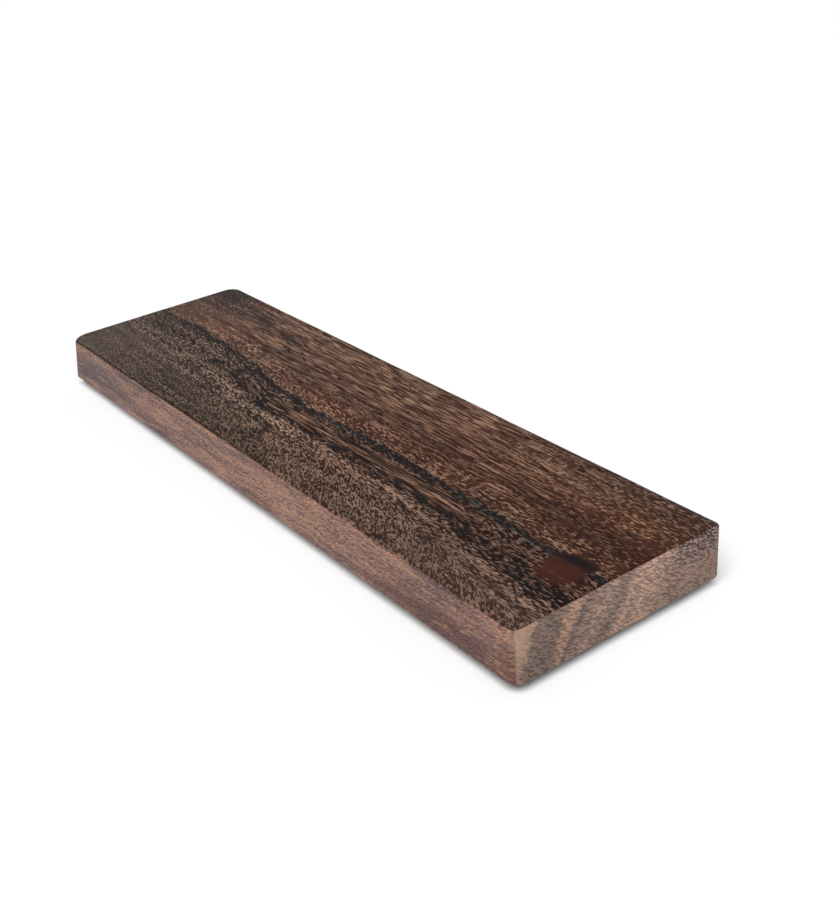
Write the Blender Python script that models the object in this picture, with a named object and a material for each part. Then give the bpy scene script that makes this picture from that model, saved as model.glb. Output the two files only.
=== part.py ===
"""Wooden wrist rest: one solid hardwood plank on six round self-adhesive rubber feet.

Frame, in metres: +X along the plank, +Y towards the keyboard, +Z up. The origin is at the middle of
the footprint, on the surface that the feet stand on.
"""

import math

import bmesh
import bpy

# Plank
PLANK_LENGTH = 0.291
PLANK_DEPTH = 0.0804
PLANK_THICKNESS = 0.0193
FRONT_LEFT_RADIUS = 0.0060
FRONT_RIGHT_RADIUS = 0.0043
BACK_RIGHT_RADIUS = 0.0014
BACK_LEFT_RADIUS = 0.0056
CORNER_STEPS = 6
TOP_EDGE_RADIUS = 0.0010
BOTTOM_EDGE_RADIUS = 0.0012
EDGE_SEGMENTS = 3

# Feet: a moulded rubber disc under a disc of double-sided adhesive
FOOT_RADIUS = 0.0050
FOOT_THICKNESS = 0.0016
FOOT_EDGE_RADIUS = 0.0004
FOOT_EDGE_SEGMENTS = 2
ADHESIVE_RADIUS = 0.0046
ADHESIVE_THICKNESS = 0.0004
DISC_SIDES = 32
FOOT_END_INSET = 0.018
FOOT_SIDE_INSET = 0.014

# Touching pieces keep this gap, so that no two solids share a face
TOUCH_GAP = 0.0003

FOOT_BOTTOM_Z = 0.0
ADHESIVE_BOTTOM_Z = FOOT_BOTTOM_Z + FOOT_THICKNESS + TOUCH_GAP
PLANK_BOTTOM_Z = ADHESIVE_BOTTOM_Z + ADHESIVE_THICKNESS + TOUCH_GAP

FOOT_X = PLANK_LENGTH / 2 - FOOT_END_INSET
FOOT_Y = PLANK_DEPTH / 2 - FOOT_SIDE_INSET
FOOT_COLUMNS = (("left", -FOOT_X), ("middle", 0.0), ("right", FOOT_X))
FOOT_ROWS = (("front", -FOOT_Y), ("back", FOOT_Y))

SMOOTH_ANGLE = math.radians(30)
HEIGHT_TOLERANCE = 1e-6


def clear_scene():
    """Remove every object of the open scene."""
    for found in list(bpy.data.objects):
        bpy.data.objects.remove(found)


def principled(name, colour, roughness):
    """A non-metallic Principled material with a linear base colour."""
    material = bpy.data.materials.new(name)
    material.use_nodes = True
    shader = material.node_tree.nodes["Principled BSDF"]
    shader.inputs["Base Color"].default_value = (*colour, 1.0)
    shader.inputs["Roughness"].default_value = roughness
    shader.inputs["Metallic"].default_value = 0.0
    material.diffuse_color = (*colour, 1.0)
    return material


def walnut_material():
    """Dark streaked hardwood under a thin oil finish."""
    return principled("walnut", (0.118, 0.072, 0.052), 0.48)


def rubber_material():
    """Black moulded rubber."""
    return principled("rubber", (0.018, 0.018, 0.019), 0.75)


def adhesive_material():
    """Grey double-sided foam tape."""
    return principled("adhesive", (0.30, 0.30, 0.29), 0.85)


def rounded_outline(length, depth, radii):
    """Points anticlockwise round a rectangle whose corners are arcs, from the front left corner."""
    sides = ((-1, -1), (1, -1), (1, 1), (-1, 1))
    quarter = math.pi / 2
    points = []
    for index, ((side_x, side_y), radius) in enumerate(zip(sides, radii)):
        centre_x = side_x * (length / 2 - radius)
        centre_y = side_y * (depth / 2 - radius)
        for step in range(CORNER_STEPS + 1):
            angle = math.pi + quarter * (index + step / CORNER_STEPS)
            points.append((centre_x + radius * math.cos(angle), centre_y + radius * math.sin(angle)))
    return points


def edges_at_height(shape, height):
    """Edges that lie level at one height of a bmesh."""
    return [
        edge
        for edge in shape.edges
        if all(abs(vert.co.z - height) < HEIGHT_TOLERANCE for vert in edge.verts)
    ]


def round_edges(shape, height, radius, segments):
    """Round the level edges at one height of a bmesh."""
    bmesh.ops.bevel(
        shape,
        geom=edges_at_height(shape, height),
        offset=radius,
        segments=segments,
        profile=0.5,
        affect="EDGES",
    )


def finished_mesh(name, shape, material):
    """Turn a bmesh into a smooth-shaded mesh with sharp edges kept and one material."""
    bmesh.ops.recalc_face_normals(shape, faces=shape.faces)
    mesh = bpy.data.meshes.new(name)
    shape.to_mesh(mesh)
    shape.free()
    mesh.shade_smooth()
    mesh.set_sharp_from_angle(angle=SMOOTH_ANGLE)
    mesh.materials.append(material)
    return mesh


def place(name, mesh, location, parent):
    """Put a mesh into the scene as a named object under the assembly's empty."""
    piece = bpy.data.objects.new(name, mesh)
    piece.location = location
    piece.parent = parent
    bpy.context.scene.collection.objects.link(piece)
    return piece


def plank_mesh():
    """The plank: a rounded outline extruded up, with eased edges above and below."""
    radii = (FRONT_LEFT_RADIUS, FRONT_RIGHT_RADIUS, BACK_RIGHT_RADIUS, BACK_LEFT_RADIUS)
    outline = rounded_outline(PLANK_LENGTH, PLANK_DEPTH, radii)
    shape = bmesh.new()
    base = shape.faces.new([shape.verts.new((x, y, 0.0)) for x, y in outline])
    raised = bmesh.ops.extrude_face_region(shape, geom=[base])["geom"]
    top = [item for item in raised if isinstance(item, bmesh.types.BMVert)]
    bmesh.ops.translate(shape, verts=top, vec=(0.0, 0.0, PLANK_THICKNESS))
    round_edges(shape, PLANK_THICKNESS, TOP_EDGE_RADIUS, EDGE_SEGMENTS)
    round_edges(shape, 0.0, BOTTOM_EDGE_RADIUS, EDGE_SEGMENTS)
    return finished_mesh("wood_block", shape, walnut_material())


def disc(radius, thickness):
    """A closed disc standing on its own origin."""
    shape = bmesh.new()
    bmesh.ops.create_cone(
        shape, cap_ends=True, segments=DISC_SIDES, radius1=radius, radius2=radius, depth=thickness
    )
    bmesh.ops.translate(shape, verts=shape.verts, vec=(0.0, 0.0, thickness / 2))
    return shape


def rubber_foot_mesh():
    """A rubber disc whose sole has a rounded rim."""
    shape = disc(FOOT_RADIUS, FOOT_THICKNESS)
    round_edges(shape, 0.0, FOOT_EDGE_RADIUS, FOOT_EDGE_SEGMENTS)
    return finished_mesh("rubber_foot", shape, rubber_material())


def adhesive_mesh():
    """The tape disc between a foot and the plank."""
    shape = disc(ADHESIVE_RADIUS, ADHESIVE_THICKNESS)
    return finished_mesh("foot_adhesive", shape, adhesive_material())


def build():
    """Assemble the plank, six feet and their adhesive discs under one empty."""
    clear_scene()
    assembly = bpy.data.objects.new("wrist_rest", None)
    bpy.context.scene.collection.objects.link(assembly)
    place("wood_block", plank_mesh(), (0.0, 0.0, PLANK_BOTTOM_Z), assembly)
    foot = rubber_foot_mesh()
    adhesive = adhesive_mesh()
    for row, y in FOOT_ROWS:
        for column, x in FOOT_COLUMNS:
            place(f"rubber_foot_{row}_{column}", foot, (x, y, FOOT_BOTTOM_Z), assembly)
            place(f"foot_adhesive_{row}_{column}", adhesive, (x, y, ADHESIVE_BOTTOM_Z), assembly)


build()
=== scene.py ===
"""Looks of the wooden wrist rest: a fine plank mesh, detailed feet and a procedural walnut.

Lengths in the shapes are in metres. The wood's node trees work in millimetres, in the row frame.
"""

import math
from types import SimpleNamespace

import bpy
import numpy as np
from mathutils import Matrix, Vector


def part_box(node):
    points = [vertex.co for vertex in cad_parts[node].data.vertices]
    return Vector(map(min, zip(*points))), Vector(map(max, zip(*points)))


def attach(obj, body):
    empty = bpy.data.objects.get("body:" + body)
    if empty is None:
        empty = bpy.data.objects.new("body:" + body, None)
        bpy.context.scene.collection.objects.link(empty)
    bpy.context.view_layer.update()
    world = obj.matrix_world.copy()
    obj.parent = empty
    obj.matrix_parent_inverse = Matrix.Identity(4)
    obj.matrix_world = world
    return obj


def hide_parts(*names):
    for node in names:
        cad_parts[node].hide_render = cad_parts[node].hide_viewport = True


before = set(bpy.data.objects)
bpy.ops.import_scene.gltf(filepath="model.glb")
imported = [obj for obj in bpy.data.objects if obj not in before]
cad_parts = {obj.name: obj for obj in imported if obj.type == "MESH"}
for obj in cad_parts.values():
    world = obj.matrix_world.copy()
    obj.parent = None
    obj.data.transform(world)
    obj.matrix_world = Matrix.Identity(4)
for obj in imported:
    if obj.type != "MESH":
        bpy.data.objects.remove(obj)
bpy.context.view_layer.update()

MM = 0.001

# The plank's box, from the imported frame
PLANK_LOW, PLANK_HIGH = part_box("wood_block")
HALF_LENGTH = (PLANK_HIGH.x - PLANK_LOW.x) / 2
HALF_DEPTH = (PLANK_HIGH.y - PLANK_LOW.y) / 2
THICKNESS = PLANK_HIGH.z - PLANK_LOW.z
TOP_MM = PLANK_HIGH.z / MM
LENGTH_MM = 2 * HALF_LENGTH / MM
DEPTH_MM = 2 * HALF_DEPTH / MM

# The plank's hand-finished shape: the mesh's grid, the radii of the eased edges above and below, and
# the steps round such an edge
GRID_STEP = 0.0010
TOP_ARRIS = 0.0012
BOTTOM_ARRIS = 0.0015
ARRIS_STEPS = 5
# How far the edges and the faces stray inwards from a true box, and the lengths of their slow waves
EDGE_SWING = 0.00018
SIDE_WAVE = 0.083
END_WAVE = 0.047
FACE_SWING = 0.00005
FACE_WAVES = (0.19, 0.07)
# The faces' swing fades out over this share of the half length and half depth, next to the edges
FADE_SHARE = 0.125
# The left end leans in by this much, from its bottom to its top
LEFT_END_SLANT = 0.0015
# Corners front left, front right, back right and back left, and their radii below and above
CORNER_SIDES = ((-1, -1), (1, -1), (1, 1), (-1, 1))
CORNER_RADII = ((0.0008, 0.0075), (0.0040, 0.0043), (0.0016, 0.0012), (0.0050, 0.0058))
LEAST_RADIUS = 0.0003

# The feet: sides of the round, radii of the sole's rim and of the lip at the top, draft of the side,
# place and radius of the groove in the sole, and the tape's bulge and bite into the plank
FOOT_SIDES = 64
SOLE_RIM = 0.0006
LIP_RADIUS = 0.0001
FOOT_DRAFT = 0.00012
GROOVE_SHARE = 0.68
GROOVE_RADIUS = 0.00022
TAPE_BULGE = 0.0002
TAPE_STEPS = 4
ADHESIVE_BITE = 0.00002
# Edges of the feet that turn by more than this many degrees stay sharp
SHARP_ANGLE = 40

# The camera: place in metres, turns in degrees, focal length in millimetres
CAMERA_LOCATION = (0.3649, -0.2156, 0.2247)
CAMERA_ROTATION = (62.07, 4.39, 53.17)
CAMERA_LENS = 51.5
CAMERA_CLIP_START = 0.01

# The floor lies this far under the soles, so that no two faces share a plane
FLOOR_GAP = 0.0001
FLOOR_REACH = 30.0
FLOOR_COLOUR = (0.9, 0.9, 0.9, 1.0)
FLOOR_ROUGHNESS = 0.9
SKY_COLOUR = (0.96, 0.98, 1.0, 1.0)
SKY_STRENGTH = 0.28
# What the camera sees behind the floor is brighter than the light that the sky gives
BACKDROP_STRENGTH = 1.05
# The key light: the direction that it comes from, its strength, and its spread in degrees
KEY_TOWARDS = (0.40, -0.38, 0.85)
KEY_STRENGTH = 3.3
KEY_SPREAD = 50


class Graph:
    """Short calls that add nodes to one material's tree and join them."""

    def __init__(self, name):
        self.material = bpy.data.materials.new(name)
        self.material.use_nodes = True
        self.tree = self.material.node_tree
        self.shader = self.tree.nodes["Principled BSDF"]

    def feed(self, socket, value):
        """Join another node's output to a socket, or set the socket's own value."""
        if isinstance(value, bpy.types.NodeSocket):
            self.tree.links.new(value, socket)
        else:
            socket.default_value = value

    def node(self, kind, **settings):
        made = self.tree.nodes.new(kind)
        for key, value in settings.items():
            setattr(made, key, value)
        return made

    def math(self, operation, *values):
        made = self.node("ShaderNodeMath", operation=operation)
        for socket, value in zip(made.inputs, values):
            self.feed(socket, value)
        return made.outputs[0]

    def add(self, *values):
        total = values[0]
        for value in values[1:]:
            total = self.math("ADD", total, value)
        return total

    def times(self, *values):
        total = values[0]
        for value in values[1:]:
            total = self.math("MULTIPLY", total, value)
        return total

    def most(self, *values):
        """The greatest of several numbers."""
        total = values[0]
        for value in values[1:]:
            total = self.math("MAXIMUM", total, value)
        return total

    def invert(self, value):
        return self.math("SUBTRACT", 1.0, value)

    def absolute(self, value):
        return self.math("ABSOLUTE", value)

    def vector(self, x, y, z):
        made = self.node("ShaderNodeCombineXYZ")
        for socket, value in zip(made.inputs, (x, y, z)):
            self.feed(socket, value)
        return made.outputs[0]

    def split(self, vector):
        made = self.node("ShaderNodeSeparateXYZ")
        self.feed(made.inputs[0], vector)
        return made.outputs[0], made.outputs[1], made.outputs[2]

    def cells(self, along, across, sizes, third):
        """A place in noise whose cells have these two sizes; third picks a slice of the noise."""
        return self.vector(self.times(along, 1 / sizes[0]), self.times(across, 1 / sizes[1]), third)

    def step(self, value, low, high):
        """Smooth step from 0 at low to 1 at high; low may be the greater."""
        made = self.node("ShaderNodeMapRange", interpolation_type="SMOOTHSTEP")
        self.feed(made.inputs["Value"], value)
        self.feed(made.inputs["From Min"], low)
        self.feed(made.inputs["From Max"], high)
        return made.outputs["Result"]

    def band(self, value, low, high, soft):
        """1 between low and high, with soft edges."""
        rise = self.step(value, low - soft, low + soft)
        fall = self.step(value, high + soft, high - soft)
        return self.times(rise, fall)

    def noise(self, vector, detail=2.0, roughness=0.5, distortion=0.0, scale=1.0):
        """Perlin noise, about 0.5 in the mean, with this number of cells to the unit of the vector."""
        made = self.node("ShaderNodeTexNoise")
        self.feed(made.inputs["Vector"], vector)
        made.inputs["Scale"].default_value = scale
        made.inputs["Detail"].default_value = detail
        made.inputs["Roughness"].default_value = roughness
        made.inputs["Distortion"].default_value = distortion
        return made.outputs["Fac"]

    def bump(self, height, strength, distance):
        """Feed a bump of some metres to the shader's normal."""
        made = self.node("ShaderNodeBump")
        made.inputs["Strength"].default_value = strength
        made.inputs["Distance"].default_value = distance
        self.feed(made.inputs["Height"], height)
        self.feed(self.shader.inputs["Normal"], made.outputs[0])

    def swing(self, vector, amount, detail=2.0):
        """Noise centred on 0, from about -amount to amount."""
        centred = self.math("SUBTRACT", self.noise(vector, detail), 0.5)
        return self.times(centred, 4.0 * amount)

    def share(self, value, low, high):
        """Where a value lies between low, as 0, and high, as 1."""
        return self.math("DIVIDE", self.math("SUBTRACT", value, low), high - low)

    def ramp(self, value, low, high, stops):
        """A colour ramp over low..high; each stop is a place and an 8-bit display colour."""
        made = self.node("ShaderNodeValToRGB")
        made.color_ramp.interpolation = "EASE"
        elements = made.color_ramp.elements
        for _ in range(len(stops) - len(elements)):
            elements.new(1.0)
        ordered = sorted(stops, key=lambda stop: stop[0])
        for element, (place, colour) in zip(elements, ordered):
            element.position = (place - low) / (high - low)
            element.color = display_colour(colour)
        self.feed(made.inputs[0], self.share(value, low, high))
        return made.outputs[0]

    def curve(self, value, low, high, points, reach):
        """A smooth curve through points (place, height), with heights within plus or minus reach."""
        made = self.node("ShaderNodeFloatCurve")
        line = made.mapping.curves[0]
        scaled = [((place - low) / (high - low), height / reach / 2 + 0.5) for place, height in points]
        for _ in range(len(scaled) - len(line.points)):
            line.points.new(0.5, 0.5)
        for point, (place, height) in zip(line.points, scaled):
            point.location = (place, height)
        made.mapping.update()
        self.feed(made.inputs["Value"], self.share(value, low, high))
        return self.times(self.math("SUBTRACT", made.outputs[0], 0.5), 2.0 * reach)

    def blend(self, factor, first, second, kind="MIX"):
        """Mix two colours."""
        made = self.node("ShaderNodeMix", data_type="RGBA", blend_type=kind)
        self.feed(made.inputs["Factor"], factor)
        for socket, value in ((made.inputs[6], first), (made.inputs[7], second)):
            self.feed(socket, display_colour(value) if isinstance(value, tuple) else value)
        return made.outputs[2]

    def lerp(self, factor, first, second):
        """Mix two numbers."""
        made = self.node("ShaderNodeMix", data_type="FLOAT")
        self.feed(made.inputs["Factor"], factor)
        self.feed(made.inputs[2], first)
        self.feed(made.inputs[3], second)
        return made.outputs[0]

    def shade(self, colour, factor):
        """A colour times a grey number."""
        made = self.node("ShaderNodeVectorMath", operation="SCALE")
        self.feed(made.inputs[0], colour)
        self.feed(made.inputs["Scale"], factor)
        return made.outputs[0]


def display_colour(colour):
    """An 8-bit display colour as linear RGBA."""
    parts = [part / 255 for part in colour]
    linear = [
        part / 12.92 if part <= 0.04045 else ((part + 0.055) / 1.055) ** 2.4
        for part in parts
    ]
    return (*linear, 1.0)


def turned(graph, along, across, degrees):
    """Two coordinates turned so that the first runs at an angle to the old first axis."""
    cosine, sine = math.cos(math.radians(degrees)), math.sin(math.radians(degrees))
    forward = graph.add(graph.times(along, cosine), graph.times(across, sine))
    sideways = graph.add(graph.times(along, -sine), graph.times(across, cosine))
    return forward, sideways


def flecks(graph, place, degrees, length, width, seed, detail=0.0):
    """Raw noise of lens-shaped dashes: their angle, length and width in the plane of place."""
    along, across, depth = place
    forward, sideways = turned(graph, along, across, degrees)
    where = graph.vector(
        graph.add(graph.times(forward, 1 / length), seed),
        graph.times(sideways, 1 / width),
        graph.times(depth, 1 / (4 * width)),
    )
    return graph.noise(where, detail, 0.55, 0.15)


# Top figure. The dark streak's line is given by points along the plank, and strays this far at most.
STREAK_LINE = ((-145, 2.6), (-102, 4.0), (-58, 0.2), (-15, -4.6), (30, -3.6), (73, -4.0), (145, -5.6))
STREAK_REACH = 10.0
# The wood's layers lean by this share of the depth below the upper face
LAYER_LEAN = 0.62
# Bands follow the streak, up to this far in front of it and behind it. Each stop is the distance
# behind the streak in millimetres, the dense wood's colour and its pale dashes' colour.
BAND_REACH = 45
TOP_BANDS = (
    (-38, (50, 35, 25), (112, 93, 81)),
    (-31, (48, 33, 23), (115, 95, 82)),
    (-24, (44, 28, 20), (119, 97, 84)),
    (-20, (44, 29, 21), (123, 101, 87)),
    (-16, (48, 30, 21), (137, 113, 97)),
    (-13, (42, 24, 15), (129, 106, 91)),
    (-10.5, (28, 8, 5), (114, 91, 78)),
    (-7, (30, 8, 3), (112, 88, 73)),
    (-3, (30, 12, 7), (110, 89, 75)),
    (0, (28, 12, 9), (98, 85, 79)),
    (2.8, (58, 32, 22), (134, 105, 86)),
    (6, (60, 31, 18), (140, 108, 88)),
    (11, (50, 25, 15), (112, 84, 69)),
    (16, (46, 24, 14), (93, 68, 55)),
    (22, (58, 32, 20), (124, 93, 74)),
    (29, (68, 39, 25), (144, 110, 87)),
    (36, (66, 40, 28), (136, 106, 88)),
    (44, (57, 35, 28), (116, 95, 83)),
)
# How thick the near-black slabs lie, against the distance behind the streak
SLAB_SHARES = (
    (-45, -0.8), (-22, -0.8), (-18.4, -0.25), (-17, -0.25), (-14.5, -0.9), (-11.8, 0.2), (-9.6, 0.25),
    (-7, -0.45), (-2.4, -0.5), (-0.8, 0.85), (0.5, 0.85), (1.6, -0.8), (12, -1.0), (45, -0.9),
)
# Lighter parts: low, high and softness along the plank, the same behind the streak, and a strength
GLOWS = (
    ((-118, 8, 20), (1.5, 10, 1.5), 1.0),
    ((-75, 30, 25), (-18, -12, 2), 0.52),
    ((-100, 5, 18), (-9, -1, 1.5), 0.58),
    ((110, 300, 15), (14, 28, 3), 0.3),
    ((42, 76, 12), (4, 11, 2), 0.4),
)
# Brightness of a lighter part at full strength
GLOW_GAIN = 1.46
HAIR_COLOUR = (172, 134, 108)
SLAB_COLOUR = (21, 15, 17)
FLAME_COLOUR = (30, 19, 15)

# The knot, a warm patch and a dark stain: places and radii on the upper face, in millimetres
KNOT_CENTRE, KNOT_RADII, KNOT_SOFTNESS = (132.0, -9.2), (7.6, 8.5), 0.24
# The knot fades out between these depths, and has a dark bar at this y and two browns
KNOT_DEPTHS = (6, 3)
KNOT_BAR = -4.6
KNOT_COLOURS = ((68, 36, 25), (44, 28, 21))
WARM_CENTRE, WARM_RADII = (-118, 13), (36, 9.0)
STAIN_CENTRE, STAIN_RADII = (-137, 34), (15, 7)

# End figure: the span of the growth bands, then the place in millimetres where each band meets the
# upper face, and its colour. Besides the wood's own colour, these colours hold painted light: the
# end is set lighter than the upper face for the light that falls on it.
END_SPAN = (-45, 55)
END_BANDS_AND_LIGHT = (
    (-40, (154, 126, 108)),
    (-33, (150, 123, 105)),
    (-30.5, (112, 93, 84)),
    (-21, (112, 94, 86)),
    (-17.5, (148, 117, 99)),
    (-13.5, (146, 115, 98)),
    (-11, (108, 90, 87)),
    (-7, (132, 107, 96)),
    (0, (144, 118, 104)),
    (4, (118, 98, 89)),
    (9, (158, 129, 113)),
    (18, (158, 128, 112)),
    (25, (136, 111, 99)),
    (52, (130, 106, 95)),
)
# How far a growth band leans, along the end face
END_LEAN = ((-40, 0.35), (-28, 0.42), (-18, 0.9), (-4, 0.72), (20, 0.6), (40, 0.6))

# Side figure: the cloud noise's value and the colour it gives. Besides the wood's own colour, these
# colours hold painted light: the long sides are set lighter than the upper face for the light that
# falls on them, and lifted to stand in for their sheen.
SIDE_CLOUDS_AND_LIGHT = (
    (0.30, (107, 83, 79)),
    (0.42, (127, 96, 87)),
    (0.52, (141, 106, 93)),
    (0.66, (159, 119, 100)),
)

# Surfaces: specular level of the oiled wood, strength and metres of each bump, cells to the metre of
# the small textures, and the two colours that each of them mixes
WOOD_SPECULAR = 0.12
WOOD_BUMP = (0.55, 0.00006)
RUBBER_BUMP = (0.5, 0.00004)
RUBBER_GRAIN = 4200.0
RUBBER_DUST = 700.0
RUBBER_COLOURS = ((31, 31, 32), (58, 57, 56))
FOAM_BUMP = (0.8, 0.00006)
FOAM_CELLS = 3000.0
FOAM_COLOURS = ((128, 127, 124), (170, 169, 165))

# In the functions of the wood, masks run from 0 to 1 and places are millimetres in the row frame: x
# grows to the right along the plank, y and level grow to the back, height and depth are measured from
# the lower and the upper face, and behind is the distance from the streak. Colours are 8-bit.


def ellipse(graph, along, across, centre, radii, soft):
    """1 inside an ellipse with a soft edge; radii are measured to the middle of the edge."""
    wide = graph.times(graph.add(along, -centre[0]), 1 / radii[0])
    high = graph.times(graph.add(across, -centre[1]), 1 / radii[1])
    reach = graph.math("SQRT", graph.add(graph.times(wide, wide), graph.times(high, high)))
    return graph.step(reach, 1 + soft, 1 - soft)


def figure_place(graph, x, y, z):
    """Where a point lies in the flat-sawn figure of the upper and lower faces, in millimetres."""
    depth = graph.math("SUBTRACT", TOP_MM, z)
    level = graph.add(y, graph.times(depth, LAYER_LEAN))
    slow = graph.swing(graph.cells(x, level, (80, 28), 0.0), 1.0)
    quick = graph.swing(graph.cells(x, level, (18, 5), graph.times(z, 1 / 9)), 0.6)
    ragged = graph.swing(graph.cells(x, level, (4, 1.1), 3.0), 0.8)
    streak = graph.curve(x, -LENGTH_MM / 2, LENGTH_MM / 2, STREAK_LINE, STREAK_REACH)
    flow = graph.add(level, slow)
    behind = graph.math("SUBTRACT", graph.add(flow, quick, ragged), streak)
    # The bands in front of the streak widen towards the right end
    fanned = graph.times(behind, graph.lerp(graph.step(x, 50, 145), 1.0, 0.66))
    behind = graph.most(behind, graph.math("MINIMUM", fanned, 0.0))
    dashes_at = (x, graph.add(flow, graph.times(quick, 0.9)), z)
    return SimpleNamespace(
        x=x, y=y, z=z, depth=depth, level=level, flow=flow, quick=quick, ragged=ragged,
        behind=behind, dashes_at=dashes_at,
    )


def figure_zones(graph, at):
    """Masks of the parts of the upper face that have a figure of their own."""
    back_middle = graph.times(graph.band(at.x, -105, 60, 25), graph.step(at.level, 8, 17))
    smooth_tongue = graph.times(graph.band(at.x, -28, 92, 14), graph.band(at.behind, -9.5, -3.5, 1.5))
    knot_edge = graph.swing(graph.cells(at.x, at.y, (5, 4), 9.0), 1.6)
    knot_x, knot_y = graph.add(at.x, knot_edge), graph.add(at.y, knot_edge)
    knot = ellipse(graph, knot_x, knot_y, KNOT_CENTRE, KNOT_RADII, KNOT_SOFTNESS)
    return SimpleNamespace(
        left=graph.step(at.x, -5, -75),
        right=graph.step(at.x, 30, 75),
        front=graph.step(at.behind, -17.5, -20.5),
        back_middle=back_middle,
        smooth_tongue=smooth_tongue,
        straight=graph.most(back_middle, smooth_tongue),
        knot=graph.times(knot, graph.step(at.depth, *KNOT_DEPTHS)),
    )


def dash_field(graph, at, zone, clouds):
    """A number near 0.5; where it rises past about 0.55, the wood has a pale dash."""
    long_dashes = flecks(graph, at.dashes_at, 0.5, 8.0, 0.50, 11.0)
    lines = flecks(graph, (at.x, at.flow, at.z), 1.5, 18.0, 0.50, 17.0)
    rising = flecks(graph, at.dashes_at, 4, 2.2, 0.45, 23.0)
    falling = flecks(graph, at.dashes_at, -9, 2.3, 0.50, 37.0)
    worms = flecks(graph, at.dashes_at, -28, 1.4, 0.44, 51.0)
    coarse = flecks(graph, at.dashes_at, -10, 2.6, 0.54, 151.0)
    coarse_worms = flecks(graph, at.dashes_at, -12, 2.2, 0.50, 163.0)
    field = graph.lerp(zone.right, graph.lerp(zone.left, falling, coarse), rising)
    field = graph.lerp(zone.back_middle, field, long_dashes)
    field = graph.lerp(zone.smooth_tongue, field, lines)
    field = graph.lerp(zone.front, field, graph.lerp(zone.left, worms, coarse_worms))

    # Clouds gather the dashes into patches, least where the figure is even
    gathering = graph.lerp(graph.most(zone.straight, zone.front, zone.left), 0.40, 0.18)
    gathered = graph.times(graph.add(clouds, -0.5), gathering)
    field = graph.add(field, gathered, graph.times(zone.knot, -0.26))
    more_in_front = graph.lerp(graph.step(at.behind, -11, -14), 0.0, 0.03)
    fewer_behind = graph.lerp(graph.step(at.behind, 1, 7), more_in_front, -0.06)
    return graph.add(field, fewer_behind)


def base_colours(graph, at, zone, clouds):
    """Colours of the dense wood and of the pale dashes: the bands, then the patches that tint them."""
    span = (-BAND_REACH, BAND_REACH)
    dense = graph.ramp(at.behind, *span, [(stop, dark) for stop, dark, _ in TOP_BANDS])
    pale = graph.ramp(at.behind, *span, [(stop, light) for stop, _, light in TOP_BANDS])
    bare = graph.times(graph.step(clouds, 0.50, 0.36), graph.step(at.behind, -6, 2), 0.8)
    dense = graph.blend(bare, dense, (74, 43, 32))
    grey_back = graph.times(graph.step(at.x, 80, -60), graph.step(at.behind, 8, 15))
    warm = ellipse(graph, at.x, graph.add(at.level, at.quick), WARM_CENTRE, WARM_RADII, 0.4)
    patches = (
        # mask, share and tint of the dense wood, share and tint of the dashes
        # Left: partly the wood's own greyer colour, partly painted sheen that lifts and greys it.
        (zone.left, 0.45, (58, 47, 43), 0.35, (116, 96, 87)),
        (grey_back, 0.5, (66, 48, 42), 0.6, (122, 101, 92)),
        (zone.back_middle, 0.35, (66, 40, 29), 0.45, (146, 112, 93)),
        (warm, 0.75, (88, 60, 48), 0.6, (132, 100, 82)),
    )
    for mask, dense_share, dense_tint, pale_share, pale_tint in patches:
        dense = graph.blend(graph.times(mask, dense_share), dense, dense_tint)
        pale = graph.blend(graph.times(mask, pale_share), pale, pale_tint)
    knot_colour = graph.blend(graph.step(at.y, -7, -3), *KNOT_COLOURS)
    dense = graph.blend(graph.times(zone.knot, 0.85), dense, knot_colour)
    tone = graph.noise(graph.cells(at.x, at.flow, (1.8, 0.9), 12.0), 2.0)
    pale = graph.shade(pale, graph.lerp(graph.step(tone, 0.3, 0.7), 0.76, 1.24))
    return dense, pale


def add_hairs(graph, at, zone, colour):
    """Lay long pale hair lines over the straight-grained parts and the back."""
    back = graph.times(graph.band(at.x, -70, 105, 20), graph.step(at.level, 2, 7))
    lines = graph.step(flecks(graph, at.dashes_at, 0.5, 13.0, 0.46, 131.0), 0.58, 0.66)
    hairs = graph.times(lines, graph.most(zone.straight, back))
    return graph.blend(graph.times(hairs, 0.58), colour, HAIR_COLOUR)


def black_slabs(graph, at, zone, field):
    """Mask of the near-black slabs that make up the streak, and of the bar in the knot."""
    slabs = flecks(graph, at.dashes_at, -10, 7.5, 1.45, 91.0, 0.8)
    share = graph.curve(at.behind, -BAND_REACH, BAND_REACH, SLAB_SHARES, 1.0)
    zebra = graph.times(graph.band(at.x, -112, -22, 14), graph.band(at.behind, -9, -1, 3))
    second_left = graph.times(zone.left, graph.band(at.behind, -15, -7, 2))
    second_right = graph.times(graph.step(at.x, 60, 110), graph.band(at.behind, -14, -8.5, 1.5))
    share = graph.add(
        share,
        graph.times(zebra, 0.45),
        graph.times(second_left, -0.6),
        graph.times(second_right, 0.5),
        graph.times(zone.smooth_tongue, -0.3),
        graph.times(zone.knot, -2.0),
    )
    black = graph.step(graph.add(slabs, graph.times(share, 0.18)), 0.505, 0.535)
    black = graph.times(black, graph.lerp(graph.step(field, 0.60, 0.70), 1.0, 0.25))
    off_bar = graph.add(at.y, -KNOT_BAR, graph.times(at.ragged, 0.5))
    bar = graph.step(graph.absolute(off_bar), 2.6, 0.8)
    return graph.most(black, graph.times(zone.knot, bar))


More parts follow.
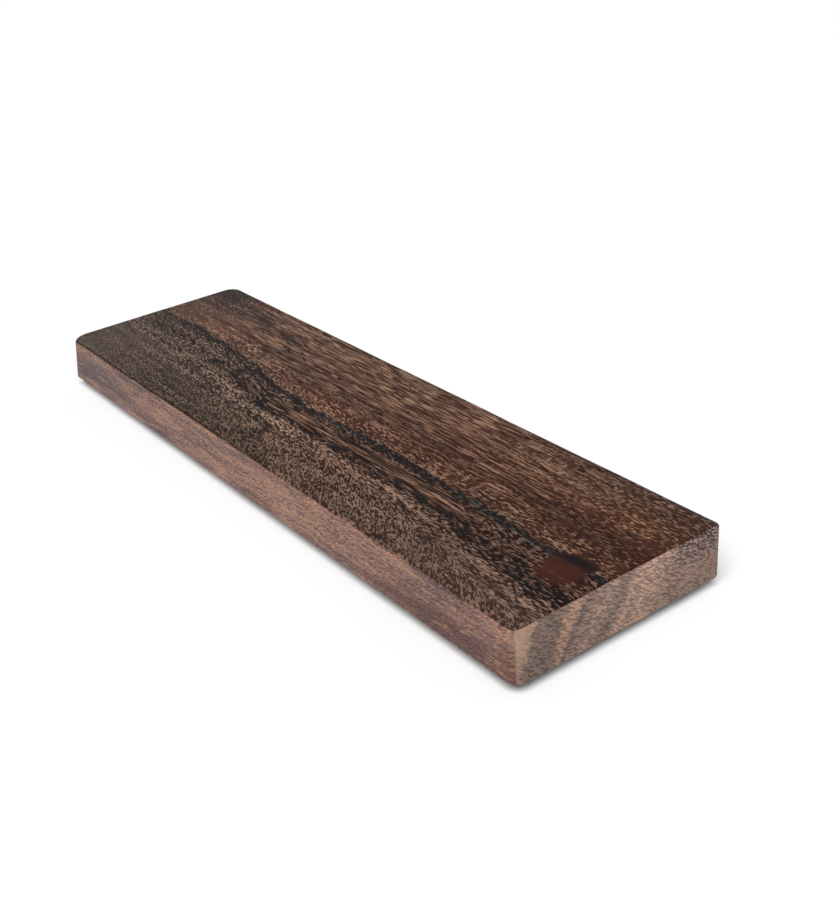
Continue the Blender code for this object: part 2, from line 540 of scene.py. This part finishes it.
def light_and_shade(graph, at, zone, colour, black):
    """Darken and lighten broad parts of the figure, and lay fine straight stripes over it."""
    shadow = graph.times(graph.band(at.x, -95, 15, 25), graph.step(at.behind, -25, -30))
    colour = graph.shade(colour, graph.lerp(shadow, 1.0, 0.72))
    glow = graph.most(*(
        graph.times(graph.band(at.x, *along), graph.band(at.behind, *behind), strength)
        for along, behind, strength in GLOWS
    ))
    colour = graph.shade(colour, graph.lerp(graph.times(glow, graph.invert(black)), 1.0, GLOW_GAIN))
    stripes = graph.swing(graph.cells(at.x, at.flow, (130, 1.8), 15.0), 1.0, 1.0)
    contrast = graph.lerp(zone.left, 0.15, 0.45)
    return graph.shade(colour, graph.add(graph.times(stripes, contrast), 1.0))


def broad_tints(graph, at, zone, colour):
    """Tint or shade broad parts of the upper face, one after another."""
    near_front = graph.times(graph.step(at.x, 50, 115), graph.step(at.behind, -13, -18), 0.3)
    colour = graph.blend(near_front, colour, (74, 58, 49))
    calm = graph.times(zone.front, graph.step(at.x, -75, -135))
    colour = graph.blend(graph.times(calm, 0.4), colour, (82, 69, 63))
    # Towards the left end the wood is greyed: partly its own colour, partly painted sheen.
    grey = graph.times(graph.step(at.x, -80, -140), 0.2)
    colour = graph.blend(grey, colour, (72, 64, 62))

    stain = ellipse(graph, at.x, graph.add(at.level, at.quick), STAIN_CENTRE, STAIN_RADII, 0.5)
    off_vein = graph.absolute(graph.add(at.level, graph.times(at.x, 0.13), at.quick, -15.8))
    vein = graph.times(graph.step(off_vein, 1.7, 0.5), graph.band(at.x, -112, -62, 12))
    vein = graph.most(graph.times(vein, 0.7), graph.times(stain, 0.6))
    colour = graph.blend(vein, colour, (40, 33, 33))

    lift = graph.times(zone.front, graph.step(at.x, -60, 60))
    colour = graph.shade(colour, graph.lerp(lift, 1.0, 1.08))
    brown = graph.times(graph.step(at.x, -70, -10), graph.band(at.behind, 8, 27, 3))
    colour = graph.blend(graph.times(brown, 0.7), colour, (244, 236, 234), "MULTIPLY")
    reddish = graph.times(graph.step(at.x, -30, 20), graph.step(at.behind, 0, -4))
    colour = graph.blend(reddish, colour, (255, 246, 245), "MULTIPLY")
    colour = graph.shade(colour, graph.lerp(reddish, 1.0, 1.05))

    back_right = graph.times(graph.step(at.x, 45, 85), graph.step(at.level, 18, 30))
    back_edge = graph.times(graph.band(at.x, 62, 112, 12), graph.step(at.level, 23, 30))
    dusk = graph.most(graph.times(back_right, 0.6), back_edge)
    return graph.shade(colour, graph.lerp(dusk, 1.0, 0.84))


def top_wood(graph, x, y, z):
    """Flat-sawn figure of the upper and lower faces: its colour and its pale-dash mask."""
    at = figure_place(graph, x, y, z)
    zone = figure_zones(graph, at)
    clouds = graph.noise(graph.cells(x, at.flow, (17, 3.0), 7.0), 2.0)
    field = dash_field(graph, at, zone, clouds)
    dash = graph.step(field, 0.50, 0.60)
    dense, pale = base_colours(graph, at, zone, clouds)
    colour = graph.blend(dash, dense, pale)
    colour = graph.shade(colour, graph.lerp(graph.step(clouds, 0.3, 0.7), 0.78, 1.16))
    colour = add_hairs(graph, at, zone, colour)
    black = black_slabs(graph, at, zone, field)
    colour = graph.blend(graph.times(black, 0.88), colour, SLAB_COLOUR)
    flames = graph.step(flecks(graph, at.dashes_at, 2.0, 24.0, 1.7, 173.0, 1.0), 0.52, 0.58)
    colour = graph.blend(graph.times(flames, zone.smooth_tongue, 0.68), colour, FLAME_COLOUR)
    colour = light_and_shade(graph, at, zone, colour, black)
    colour = broad_tints(graph, at, zone, colour)
    return colour, graph.times(dash, graph.invert(black))


def side_wood(graph, x, height):
    """Figure of the long sides, in colours that also hold painted light: clouds along the plank under
    fine slanting flecks.
    """
    slanted = graph.add(height, graph.times(x, -0.035))
    cloud = graph.noise(graph.cells(x, slanted, (42, 6), 2.0), 3.0)
    colour = graph.ramp(cloud, 0, 1, SIDE_CLOUDS_AND_LIGHT)
    bow = graph.add(slanted, graph.swing(graph.vector(graph.times(x, 1 / 20), 0.0, 0.0), 1.0))
    colour = graph.blend(graph.step(x, -75, -125), colour, (226, 232, 238), "MULTIPLY")
    dusk = ellipse(graph, x, bow, (-126, 12.5), (34, 3.6), 0.5)
    colour = graph.blend(graph.times(dusk, 0.9), colour, (88, 73, 75))
    light = ellipse(graph, x, bow, (44, 10.0), (46, 7.0), 0.5)
    colour = graph.blend(graph.times(light, 0.7), colour, (164, 123, 102))
    low_right = graph.times(graph.step(x, 48, 105), graph.step(slanted, 8, 1.5))
    colour = graph.blend(graph.times(low_right, 0.8), colour, (96, 66, 60))
    mottle = graph.noise(graph.cells(x, slanted, (11, 1.5), 8.0), 4.0, 0.65)
    colour = graph.blend(graph.times(graph.step(mottle, 0.52, 0.62), 0.5), colour, (174, 134, 104))
    colour = graph.blend(graph.times(graph.step(mottle, 0.48, 0.38), 0.55), colour, (96, 73, 78))
    strokes = flecks(graph, (x, height, 5.0), 24, 1.9, 0.42, 61.0, 1.0)
    colour = graph.shade(colour, graph.lerp(graph.step(strokes, 0.34, 0.66), 0.62, 1.3))
    specks = flecks(graph, (x, height, 3.0), 16, 2.6, 0.7, 67.0, 2.0)
    specks = graph.step(graph.add(specks, graph.times(graph.invert(cloud), 0.3)), 0.69, 0.76)
    colour = graph.blend(graph.times(specks, 0.6), colour, (62, 46, 52))
    return colour, graph.step(strokes, 0.45, 0.6)


def end_wood(graph, y, height):
    """End grain, in colours that also hold painted light: slanting growth bands crossed by fine wavy
    pore lines.
    """
    depth = graph.math("SUBTRACT", THICKNESS / MM, height)
    bend = graph.swing(graph.cells(y, height, (14, 9), 4.0), 1.4)
    lean = graph.curve(y, -DEPTH_MM / 2, DEPTH_MM / 2, END_LEAN, 1.0)
    band = graph.add(y, graph.times(depth, lean), bend)
    colour = graph.ramp(band, *END_SPAN, END_BANDS_AND_LIGHT)
    wavy = graph.add(height, graph.swing(graph.cells(y, height, (4, 4), 6.0), 0.5))
    lines = flecks(graph, (y, wavy, 9.0), -28, 1.7, 0.42, 71.0, 1.0)
    plain = graph.times(graph.step(band, -31, -34), 0.7)
    dark_patch = ellipse(graph, y, height, (31, 16.5), (11, 4.8), 0.5)
    colour = graph.blend(graph.times(dark_patch, 0.3), colour, (104, 86, 86))
    dark_lines = graph.times(dark_patch, graph.step(lines, 0.58, 0.48), 0.8)
    colour = graph.blend(dark_lines, colour, (66, 52, 60))
    strength = graph.lerp(plain, graph.step(lines, 0.38, 0.62), 0.55)
    colour = graph.shade(colour, graph.lerp(strength, 0.52, 1.26))
    # Darker towards the bottom, lighter towards the top.
    colour = graph.shade(colour, graph.lerp(graph.step(height, 2, 18), 0.88, 1.12))
    return colour, graph.step(lines, 0.45, 0.6)


def walnut():
    """Dark streaked hardwood with pale dashes, pores, painted shade on the arrises and a thin oil
    finish.
    """
    graph = Graph("walnut_figure")
    where = graph.node("ShaderNodeTexCoord")
    scaled = graph.node("ShaderNodeVectorMath", operation="SCALE")
    graph.feed(scaled.inputs[0], where.outputs["Object"])
    scaled.inputs["Scale"].default_value = 1 / MM
    x, y, z = graph.split(scaled.outputs[0])
    facing_x, facing_y, facing_z = graph.split(where.outputs["Normal"])
    height = graph.add(z, -PLANK_LOW.z / MM)

    top_colour, top_dash = top_wood(graph, x, y, z)
    side_colour, side_dash = side_wood(graph, x, height)
    end_colour, end_dash = end_wood(graph, y, height)
    # The sides and the ends take colours of their own. Besides the wood's own figure, their being
    # lighter than the upper face is painted light.
    on_side = graph.step(graph.absolute(facing_y), 0.62, 0.80)
    on_end = graph.step(graph.absolute(facing_x), 0.62, 0.80)
    colour = graph.blend(on_side, top_colour, side_colour)
    colour = graph.blend(on_end, colour, end_colour)
    dash = graph.lerp(on_end, graph.lerp(on_side, top_dash, side_dash), end_dash)

    fibre = graph.noise(graph.cells(x, y, (11, 0.24), graph.times(z, 1 / 0.24)), 2.0)
    colour = graph.shade(colour, graph.add(graph.times(fibre, 0.26), 0.87))
    pore = flecks(graph, (x, graph.add(y, z), z), 0, 1.5, 0.17, 83.0)
    pore = graph.times(graph.step(pore, 0.62, 0.72), graph.invert(on_end))
    colour = graph.shade(colour, graph.lerp(pore, 1.0, 0.62))
    # Painted shade: the rounded arrises are darkened, most towards the left end.
    shaded_arris = graph.times(graph.step(facing_z, 0.25, 0.6), graph.step(facing_z, 0.999, 0.93))
    arris_shade = graph.lerp(graph.step(x, -40, 70), 0.5, 0.85)
    colour = graph.shade(colour, graph.lerp(shaded_arris, 1.0, arris_shade))

    graph.feed(graph.shader.inputs["Base Color"], colour)
    roughness = graph.add(graph.times(dash, 0.14), graph.times(fibre, 0.16), 0.36)
    graph.feed(graph.shader.inputs["Roughness"], roughness)
    graph.shader.inputs["Specular IOR Level"].default_value = WOOD_SPECULAR
    relief = graph.add(graph.times(dash, -0.45), graph.times(fibre, 0.35), graph.times(pore, -0.9))
    graph.bump(relief, *WOOD_BUMP)
    return graph.material


def level_insets():
    """Height of each of the plank's rings above its underside, and the ring's inset from the sides."""
    quarter = [math.pi / 2 * step / ARRIS_STEPS for step in range(ARRIS_STEPS + 1)]
    plain = THICKNESS - TOP_ARRIS - BOTTOM_ARRIS
    count = round(plain / GRID_STEP)
    rings = []
    for angle in quarter:
        rings.append((BOTTOM_ARRIS * (1 - math.cos(angle)), BOTTOM_ARRIS * (1 - math.sin(angle))))
    for step in range(1, count):
        rings.append((BOTTOM_ARRIS + plain * step / count, 0.0))
    for angle in quarter:
        height = THICKNESS - TOP_ARRIS * (1 - math.sin(angle))
        rings.append((height, TOP_ARRIS * (1 - math.cos(angle))))
    return rings


def wave(place, length, phase):
    """A slow irregular wave from -1 to 1."""
    turn = 2 * math.pi * place / length
    return 0.6 * np.sin(turn + phase) + 0.4 * np.sin(2.3 * turn + 1.7 * phase)


def round_corners(x, y, half_x, half_y, rise, inset):
    """Bend a rectangle's grid points so that its corners become arcs."""
    x, y = x.copy(), y.copy()
    for (side_x, side_y), (low, high) in zip(CORNER_SIDES, CORNER_RADII):
        radius = max(low + (high - low) * rise - inset, LEAST_RADIUS)
        over_x = x * side_x - (half_x - radius)
        over_y = y * side_y - (half_y - radius)
        inside = (over_x > 0) & (over_y > 0)
        reach = np.hypot(over_x, over_y)
        scale = np.where(inside, np.maximum(over_x, over_y) / np.maximum(reach, 1e-9), 1.0)
        x = np.where(inside, side_x * (half_x - radius + over_x * scale), x)
        y = np.where(inside, side_y * (half_y - radius + over_y * scale), y)
    return x, y


def plank_points(along, across, height, inset):
    """Places of one level's grid points, from their shares along and across the plank."""
    rise = height / THICKNESS
    half_x, half_y = HALF_LENGTH - inset, HALF_DEPTH - inset
    x, y = round_corners(along * half_x, across * half_y, half_x, half_y, rise, inset)
    slim_y = EDGE_SWING * (0.5 + 0.5 * wave(x, SIDE_WAVE, 1.0 + 2.1 * np.sign(across)))
    slim_x = EDGE_SWING * (0.5 + 0.5 * wave(y, END_WAVE, 0.4 + 1.3 * np.sign(along)))
    y = y - np.sign(across) * np.abs(across) ** 3 * slim_y
    x = x - np.sign(along) * np.abs(along) ** 3 * slim_x
    x = x + LEFT_END_SLANT * rise * np.clip(-along, 0.0, 1.0) ** 4
    return x, y


def plank_mesh():
    """The plank as a closed grid with eased, slightly uneven edges."""
    columns = round(2 * HALF_LENGTH / GRID_STEP)
    rows = round(2 * HALF_DEPTH / GRID_STEP)
    along, across = np.meshgrid(np.linspace(-1, 1, columns + 1), np.linspace(-1, 1, rows + 1))
    rim = [(0, c) for c in range(columns)] + [(r, columns) for r in range(rows)]
    rim += [(rows, c) for c in range(columns, 0, -1)] + [(r, 0) for r in range(rows, 0, -1)]
    rim_rows, rim_columns = np.array(rim).T
    rim_along, rim_across = along[rim_rows, rim_columns], across[rim_rows, rim_columns]
    rings = level_insets()
    points, faces = [], []

    def cap(height, inset, drop):
        """Grid points of a whole level, for the underside (drop 1) or the top (drop -1)."""
        x, y = plank_points(along, across, height, inset)
        inner = np.clip((1 - np.maximum(np.abs(along), np.abs(across))) / FADE_SHARE, 0, 1)
        ripple = wave(x + 0.4 * y, FACE_WAVES[0], 0.3) * wave(y, FACE_WAVES[1], 1.1)
        sag = FACE_SWING * inner * (1 + ripple)
        start = sum(len(block) for block in points)
        points.append(np.stack([x.ravel(), y.ravel(), (height + drop * sag).ravel()], 1))
        return start + np.arange(x.size).reshape(x.shape)

    bottom = cap(*rings[0], 1.0)
    top = cap(*rings[-1], -1.0)
    below_cap = [bottom[:-1, :-1], bottom[1:, :-1], bottom[1:, 1:], bottom[:-1, 1:]]
    above_cap = [top[:-1, :-1], top[:-1, 1:], top[1:, 1:], top[1:, :-1]]
    faces.append(np.stack(below_cap, -1).reshape(-1, 4))
    faces.append(np.stack(above_cap, -1).reshape(-1, 4))
    below = bottom[rim_rows, rim_columns]
    for height, inset in rings[1:-1]:
        x, y = plank_points(rim_along, rim_across, height, inset)
        start = sum(len(block) for block in points)
        points.append(np.stack([x, y, np.full_like(x, height)], 1))
        here = start + np.arange(len(x))
        faces.append(np.stack([below, np.roll(below, -1), np.roll(here, -1), here], 1))
        below = here
    rim_top = top[rim_rows, rim_columns]
    faces.append(np.stack([below, np.roll(below, -1), np.roll(rim_top, -1), rim_top], 1))

    centre = (PLANK_LOW + PLANK_HIGH) / 2
    placed = np.concatenate(points) + np.array([centre.x, centre.y, PLANK_LOW.z])
    mesh = bpy.data.meshes.new("walnut_plank")
    mesh.from_pydata(placed.tolist(), [], np.concatenate(faces).tolist())
    mesh.shade_smooth()
    return mesh


def add_piece(name, mesh, material, node):
    """Put a mesh in the scene as the piece that stands for a CAD node."""
    mesh.materials.append(material)
    piece = bpy.data.objects.new(name, mesh)
    bpy.context.scene.collection.objects.link(piece)
    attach(piece, "root")
    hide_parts(node)


def spun_mesh(name, profile, x, y):
    """A closed turned solid: rings at (radius, height) between a point below and a point above."""
    turns = 2 * np.pi * np.arange(FOOT_SIDES) / FOOT_SIDES
    (_, low), *rings, (_, high) = profile
    points = [(x, y, low), (x, y, high)]
    for radius, height in rings:
        points += [(x + radius * math.cos(turn), y + radius * math.sin(turn), height) for turn in turns]
    faces = []
    last = 2 + (len(rings) - 1) * FOOT_SIDES
    for side in range(FOOT_SIDES):
        after = (side + 1) % FOOT_SIDES
        faces.append((0, 2 + after, 2 + side))
        faces.append((1, last + side, last + after))
        for start in range(2, last, FOOT_SIDES):
            above = start + FOOT_SIDES
            faces.append((start + side, start + after, above + after, above + side))
    mesh = bpy.data.meshes.new(name)
    mesh.from_pydata(points, [], faces)
    mesh.shade_smooth()
    mesh.set_sharp_from_angle(angle=math.radians(SHARP_ANGLE))
    return mesh


def arc(centre, radius, start, end, steps=6):
    """Points of an arc in a profile, with its angles in degrees."""
    angles = [math.radians(start + (end - start) * step / steps) for step in range(steps + 1)]
    return [
        (centre[0] + radius * math.cos(angle), centre[1] + radius * math.sin(angle))
        for angle in angles
    ]


def foot_profile(low, high, radius):
    """Outline of a moulded foot from sole to top: a shallow groove, a round rim and a small lip."""
    groove = radius * GROOVE_SHARE
    side = radius - FOOT_DRAFT
    sole = [(0.0, low), (groove - GROOVE_RADIUS, low)]
    sole += arc((groove, low), GROOVE_RADIUS, 180, 0)[1:-1]
    sole += [(groove + GROOVE_RADIUS, low)]
    rim = arc((side - SOLE_RIM, low + SOLE_RIM), SOLE_RIM, -90, 0)
    lip = arc((radius - LIP_RADIUS, high - LIP_RADIUS), LIP_RADIUS, 0, 90, 3)
    return sole + rim + lip + [(0.0, high)]


def tape_profile(low, high, radius):
    """Outline of a foam tape disc, squeezed so that its edge bulges a little."""
    half = (high - low) / 2
    bulge = [
        (radius - TAPE_BULGE * (step / TAPE_STEPS) ** 2, low + half + half * step / TAPE_STEPS)
        for step in range(-TAPE_STEPS, TAPE_STEPS + 1)
    ]
    return [(0.0, low)] + bulge + [(0.0, high)]


def rubber():
    """Black moulded rubber: a fine matt texture with faint dust."""
    graph = Graph("moulded_rubber")
    where = graph.node("ShaderNodeTexCoord").outputs["Object"]
    grain = graph.noise(where, 3.0, scale=RUBBER_GRAIN)
    dust = graph.step(graph.noise(where, 4.0, scale=RUBBER_DUST), 0.48, 0.75)
    graph.feed(graph.shader.inputs["Base Color"], graph.blend(dust, *RUBBER_COLOURS))
    roughness = graph.add(graph.times(grain, 0.25), graph.times(dust, 0.15), 0.52)
    graph.feed(graph.shader.inputs["Roughness"], roughness)
    graph.bump(grain, *RUBBER_BUMP)
    return graph.material


def foam_tape():
    """Grey closed-cell foam tape."""
    graph = Graph("foam_tape")
    where = graph.node("ShaderNodeTexCoord").outputs["Object"]
    cells = graph.noise(where, 2.0, scale=FOAM_CELLS)
    graph.feed(graph.shader.inputs["Base Color"], graph.blend(cells, *FOAM_COLOURS))
    graph.feed(graph.shader.inputs["Roughness"], graph.add(graph.times(cells, 0.2), 0.75))
    graph.bump(cells, *FOAM_BUMP)
    return graph.material


def add_feet():
    """Each rubber foot, and the tape that fills the space between it and the plank."""
    skin = rubber()
    foam = foam_tape()
    for foot_node in sorted(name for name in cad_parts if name.startswith("rubber_foot_")):
        place = foot_node.removeprefix("rubber_foot_")
        tape_node = "foot_adhesive_" + place
        low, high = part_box(foot_node)
        tape_low, tape_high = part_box(tape_node)
        x, y = (low.x + high.x) / 2, (low.y + high.y) / 2
        foot_outline = foot_profile(low.z, high.z, (high.x - low.x) / 2)
        foot = spun_mesh("foot_" + place, foot_outline, x, y)
        add_piece("foot_" + place, foot, skin, foot_node)
        tape_top = PLANK_LOW.z + ADHESIVE_BITE
        tape_outline = tape_profile(high.z, tape_top, (tape_high.x - tape_low.x) / 2)
        tape = spun_mesh("tape_" + place, tape_outline, x, y)
        add_piece("tape_" + place, tape, foam, tape_node)


def add_sun(name, towards, strength, spread):
    """A soft parallel light that comes from one direction, with its spread in degrees."""
    data = bpy.data.lights.new(name, "SUN")
    data.energy = strength
    data.angle = math.radians(spread)
    light = bpy.data.objects.new(name, data)
    light.rotation_euler = Vector(towards).to_track_quat("Z", "Y").to_euler()
    bpy.context.scene.collection.objects.link(light)


def add_floor():
    """A pale floor, a plain square far larger than the object."""
    points = [(x * FLOOR_REACH, y * FLOOR_REACH, -FLOOR_GAP) for x, y in CORNER_SIDES]
    mesh = bpy.data.meshes.new("studio_floor")
    mesh.from_pydata(points, [], [(0, 1, 2, 3)])
    graph = Graph("pale_floor")
    graph.shader.inputs["Base Color"].default_value = FLOOR_COLOUR
    graph.shader.inputs["Roughness"].default_value = FLOOR_ROUGHNESS
    mesh.materials.append(graph.material)
    floor = bpy.data.objects.new("studio_floor", mesh)
    bpy.context.scene.collection.objects.link(floor)


def add_sky():
    """Even light from all around, seen by the camera as a white backdrop."""
    world = bpy.data.worlds.new("studio")
    world.use_nodes = True
    tree = world.node_tree
    background = tree.nodes["Background"]
    background.inputs["Color"].default_value = SKY_COLOUR
    strength = tree.nodes.new("ShaderNodeMix")
    seen = tree.nodes.new("ShaderNodeLightPath")
    tree.links.new(seen.outputs["Is Camera Ray"], strength.inputs["Factor"])
    strength.inputs["A"].default_value = SKY_STRENGTH
    strength.inputs["B"].default_value = BACKDROP_STRENGTH
    tree.links.new(strength.outputs["Result"], background.inputs["Strength"])
    bpy.context.scene.world = world
    bpy.context.scene.view_settings.view_transform = "Standard"


def add_camera():
    """The camera, at the photograph's viewing angle."""
    data = bpy.data.cameras.new("photo_view")
    data.lens = CAMERA_LENS
    data.clip_start = CAMERA_CLIP_START
    camera = bpy.data.objects.new("photo_view", data)
    camera.location = CAMERA_LOCATION
    camera.rotation_euler = [math.radians(angle) for angle in CAMERA_ROTATION]
    bpy.context.scene.collection.objects.link(camera)
    bpy.context.scene.camera = camera


add_piece("walnut_plank", plank_mesh(), walnut(), "wood_block")
add_feet()
add_floor()
add_sky()
add_sun("key_light", KEY_TOWARDS, KEY_STRENGTH, KEY_SPREAD)
add_camera()
